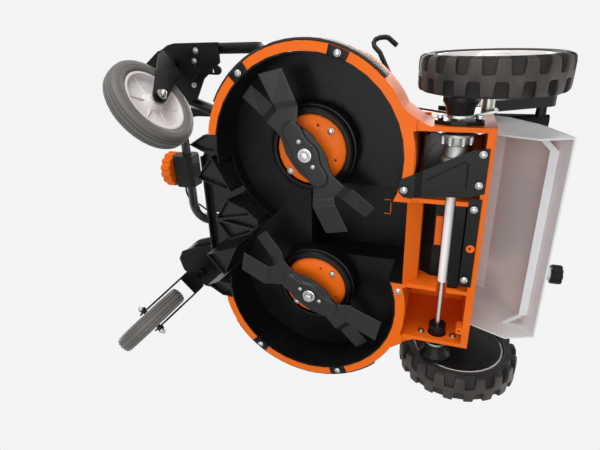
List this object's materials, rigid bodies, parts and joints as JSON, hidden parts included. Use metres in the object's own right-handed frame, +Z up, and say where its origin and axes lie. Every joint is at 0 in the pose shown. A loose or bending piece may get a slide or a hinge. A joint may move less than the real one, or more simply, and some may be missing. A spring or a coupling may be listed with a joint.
{
  "type": "cordless lawn mower",
  "caption": "Battery-powered walk-behind twin-blade rotary mower with caster front wheels, rear wheel drive, rear discharge flap and a handlebar folded forward",
  "frame": {"origin": "middle of the bounding box's footprint, on the ground", "axes": "+Z up; the front of the mower faces -Y; the mower's own left side is +X"},
  "size_m": [0.7994, 1.1136, 0.434],
  "materials": {
    "orange_plastic": "smooth moulded, slight gloss",
    "black_plastic": "fine moulded grain",
    "black_coated_steel": "black powder coat",
    "black_coated_tube": "black powder coat",
    "blade_coating": "dark satin coat",
    "rubber": "matt black",
    "tyre_rubber": "matt black tread",
    "caster_rubber": "matt dark grey",
    "white_plastic": "off-white moulded",
    "rim_plastic": "light grey moulded",
    "zinc_plate": "bright zinc plating",
    "bright_steel": "machined",
    "cast_aluminium": "die cast",
    "dark_grey_plastic": "fine moulded grain"
  },
  "bodies": {
    "deck": {"battery_pack": "dark_grey_plastic", "bearing_flange_left": "black_coated_steel", "bearing_flange_right": "black_coated_steel", "blade_motor": "dark_grey_plastic", "caster_bracket_left": "black_coated_steel", "caster_bracket_right": "black_coated_steel", "cover_strip": "black_coated_steel", "deck_housing": "orange_plastic", "deck_liner": "black_plastic", "discharge_chute": "black_plastic", "drive_motor": "dark_grey_plastic", "edge_guard_left": "rubber", "edge_guard_right": "rubber", "front_bow_left": "black_coated_tube", "front_bow_right": "black_coated_tube", "front_guard": "black_plastic", "gearbox": "cast_aluminium", "guard_plate": "black_coated_steel", "handle_console": "black_plastic", "lock_post": "white_plastic", "shaft_sleeve": "white_plastic", "spindle_flange_left": "orange_plastic", "spindle_flange_right": "orange_plastic", "timing_belt": "rubber", "top_shroud": "black_plastic"},
    "blade_unit_left": {"blade_left": "blade_coating", "spindle_left": "bright_steel"},
    "wheel_carrier_left": {"carrier_left": "zinc_plate", "gear_cover_left": "black_plastic"},
    "rear_wheel_left": {"rear_tyre_left": "tyre_rubber", "rear_rim_left": "rim_plastic"},
    "caster_post_left": {"caster_bush_left": "black_coated_steel"},
    "caster_swivel_left": {"caster_fork_left": "black_coated_steel"},
    "caster_wheel_left": {"caster_tyre_left": "caster_rubber", "caster_rim_left": "rim_plastic"},
    "detent_left": {"detent_lever_left": "black_coated_steel"},
    "blade_unit_right": {"blade_right": "blade_coating", "spindle_right": "bright_steel"},
    "wheel_carrier_right": {"carrier_right": "zinc_plate", "gear_cover_right": "black_plastic"},
    "rear_wheel_right": {"rear_tyre_right": "tyre_rubber", "rear_rim_right": "rim_plastic"},
    "caster_post_right": {"caster_bush_right": "black_coated_steel"},
    "caster_swivel_right": {"caster_fork_right": "black_coated_steel"},
    "caster_wheel_right": {"caster_tyre_right": "caster_rubber", "caster_rim_right": "rim_plastic"},
    "detent_right": {"detent_lever_right": "black_coated_steel"},
    "lid": {"battery_lid": "white_plastic"},
    "flap": {"rear_flap": "white_plastic"},
    "shaft": {"drive_shaft": "bright_steel"},
    "lever": {"height_lever": "black_coated_steel"},
    "link": {"link_rod": "black_coated_steel"},
    "idler": {"idler_pulley": "bright_steel"},
    "motor_rotor": {"motor_pulley": "bright_steel"},
    "handle": {"handlebar": "black_coated_tube", "control_housing": "black_plastic", "control_cable": "black_plastic"},
    "dial": {"speed_dial": "orange_plastic"},
    "bail": {"stop_bail": "black_coated_tube"},
    "knob": {"lock_knob": "black_plastic"}
  },
  "joints": [
    {"name": "blade_spin_left", "type": "hinge", "parent": "deck", "child": "blade_unit_left", "pos_m": [0.19579, 0.01701, 0.0425], "axis": [0, 0, 1], "continuous": true},
    {"name": "blade_spin_right", "type": "hinge", "parent": "deck", "child": "blade_unit_right", "pos_m": [-0.1102, 0.01701, 0.0425], "axis": [0, 0, 1], "continuous": true},
    {"name": "motor_spin", "type": "hinge", "parent": "deck", "child": "motor_rotor", "pos_m": [-0.08221, -0.08299, 0.216], "axis": [0, 0, 1], "continuous": true},
    {"name": "idler_spin", "type": "hinge", "parent": "deck", "child": "idler", "pos_m": [-0.08221, 0.11701, 0.216], "axis": [0, 0, 1], "continuous": true},
    {"name": "drive_shaft_spin", "type": "hinge", "parent": "deck", "child": "shaft", "pos_m": [0.04279, 0.28201, 0.064], "axis": [1, 0, 0], "continuous": true},
    {"name": "wheel_height_left", "type": "hinge", "parent": "deck", "child": "wheel_carrier_left", "pos_m": [0.2693, 0.28201, 0.064], "axis": [-1, 0, 0], "range_deg": [0, 50]},
    {"name": "rear_wheel_spin_left", "type": "hinge", "parent": "wheel_carrier_left", "child": "rear_wheel_left", "pos_m": [0.33635, 0.32581, 0.1205], "axis": [1, 0, 0], "continuous": true},
    {"name": "caster_height_left", "type": "slide", "parent": "deck", "child": "caster_post_left", "axis": [0, 0, -1], "range_m": [0, 0.054]},
    {"name": "caster_swivel_left", "type": "hinge", "parent": "caster_post_left", "child": "caster_swivel_left", "pos_m": [0.3414, -0.40869, 0.231], "axis": [0, 0, 1], "continuous": true},
    {"name": "caster_wheel_spin_left", "type": "hinge", "parent": "caster_swivel_left", "child": "caster_wheel_left", "pos_m": [0.27016, -0.35788, 0.105], "axis": [-0.5807, -0.8141, 0], "continuous": true},
    {"name": "detent_left", "type": "hinge", "parent": "deck", "child": "detent_left", "pos_m": [0.3263, -0.34269, 0.28], "axis": [-1, 0, 0], "range_deg": [0, 12], "stiffness_Nm_per_rad": 1, "springref_deg": -11.46},
    {"name": "wheel_height_right", "type": "hinge", "parent": "deck", "child": "wheel_carrier_right", "pos_m": [-0.18371, 0.28201, 0.064], "axis": [-1, 0, 0], "range_deg": [0, 50]},
    {"name": "rear_wheel_spin_right", "type": "hinge", "parent": "wheel_carrier_right", "child": "rear_wheel_right", "pos_m": [-0.25076, 0.32581, 0.1205], "axis": [1, 0, 0], "continuous": true},
    {"name": "caster_height_right", "type": "slide", "parent": "deck", "child": "caster_post_right", "axis": [0, 0, -1], "range_m": [0, 0.054]},
    {"name": "caster_swivel_right", "type": "hinge", "parent": "caster_post_right", "child": "caster_swivel_right", "pos_m": [-0.2558, -0.40869, 0.231], "axis": [0, 0, 1], "continuous": true},
    {"name": "caster_wheel_spin_right", "type": "hinge", "parent": "caster_swivel_right", "child": "caster_wheel_right", "pos_m": [-0.31659, -0.47163, 0.105], "axis": [0.7193, -0.6947, 0], "continuous": true},
    {"name": "detent_right", "type": "hinge", "parent": "deck", "child": "detent_right", "pos_m": [-0.2407, -0.34269, 0.28], "axis": [-1, 0, 0], "range_deg": [0, 12], "stiffness_Nm_per_rad": 1, "springref_deg": -11.46},
    {"name": "height_lever_turn", "type": "hinge", "parent": "deck", "child": "lever", "pos_m": [0.2693, 0.15701, 0.162], "axis": [-1, 0, 0], "range_deg": [0, 50]},
    {"name": "link_rod_pivot", "type": "hinge", "parent": "wheel_carrier_left", "child": "link", "pos_m": [0.2693, 0.27402, 0.1093], "axis": [-1, 0, 0], "range_deg": [-50, 0]},
    {"name": "battery_lid_hinge", "type": "hinge", "parent": "deck", "child": "lid", "pos_m": [0.04279, -0.09599, 0.3373], "axis": [1, 0, 0], "range_deg": [0, 95]},
    {"name": "rear_flap_hinge", "type": "hinge", "parent": "deck", "child": "flap", "pos_m": [0.04279, 0.31701, 0.268], "axis": [1, 0, 0], "range_deg": [0, 70], "stiffness_Nm_per_rad": 1.5, "springref_deg": -34.38},
    {"name": "handlebar_fold", "type": "hinge", "parent": "deck", "child": "handle", "pos_m": [0.04279, 0.44701, 0.385], "axis": [-1, 0, 0], "range_deg": [0, 135]},
    {"name": "speed_dial_turn", "type": "hinge", "parent": "handle", "child": "dial", "pos_m": [0.03479, -0.50799, 0.382], "axis": [0, -1, 0], "range_deg": [0, 270]},
    {"name": "stop_bail_hinge", "type": "hinge", "parent": "handle", "child": "bail", "pos_m": [0.04279, -0.31299, 0.40225], "axis": [-1, 0, 0], "range_deg": [0, 10], "stiffness_Nm_per_rad": 2, "springref_deg": -20.05},
    {"name": "lock_knob_turn", "type": "hinge", "parent": "deck", "child": "knob", "pos_m": [-0.16696, 0.53051, 0.385], "axis": [0, 1, 0], "continuous": true}
  ],
  "couplings": [
    {"joint": "blade_spin_right", "follows": "blade_spin_left", "ratio": -1},
    {"joint": "motor_spin", "follows": "blade_spin_left", "ratio": 2},
    {"joint": "idler_spin", "follows": "blade_spin_left", "ratio": 2},
    {"joint": "wheel_height_right", "follows": "wheel_height_left", "ratio": 1},
    {"joint": "height_lever_turn", "follows": "wheel_height_left", "ratio": 1},
    {"joint": "link_rod_pivot", "follows": "wheel_height_left", "ratio": -1}
  ]
}
